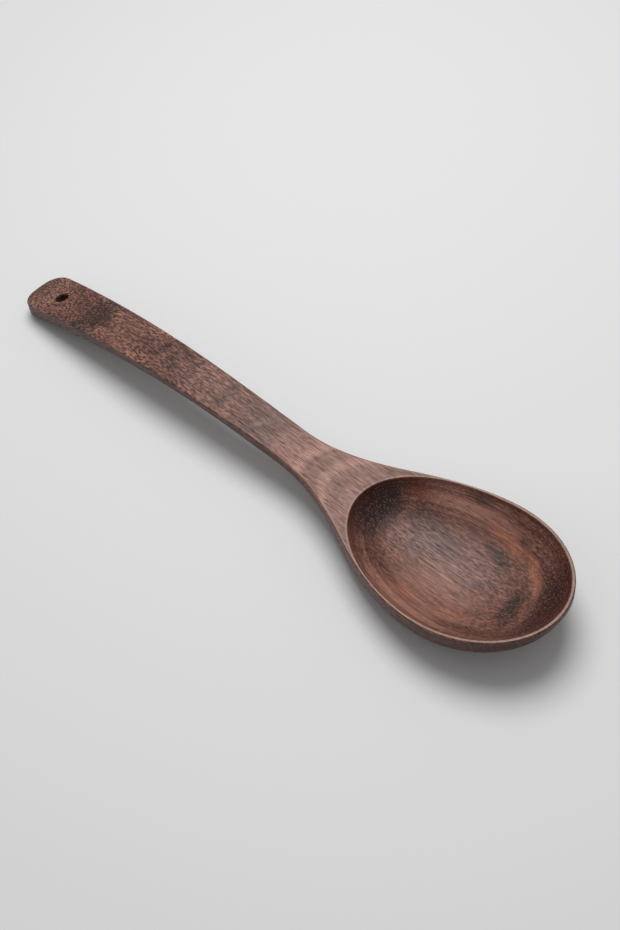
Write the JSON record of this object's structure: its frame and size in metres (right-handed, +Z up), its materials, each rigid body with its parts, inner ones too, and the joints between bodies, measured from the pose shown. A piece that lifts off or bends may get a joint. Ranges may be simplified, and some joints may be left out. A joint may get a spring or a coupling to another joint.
{
  "type": "wooden spoon",
  "caption": "Carved wooden spoon with an egg-shaped bowl, flared neck and flat, arched handle with a hanging hole near its end.",
  "frame": {"origin": "on the table, under the middle of the spoon's length and width, as the spoon rests on its bowl and the end of its handle", "axes": "+X from the handle's end towards the bowl's tip, +Y across the spoon, +Z up from the table, out of the bowl"},
  "size_m": [0.32, 0.0704, 0.0257],
  "materials": {
    "wood": "oiled, open-pored dark reddish-brown hardwood"
  },
  "bodies": {
    "root": {"spoon": "wood"}
  },
  "joints": []
}
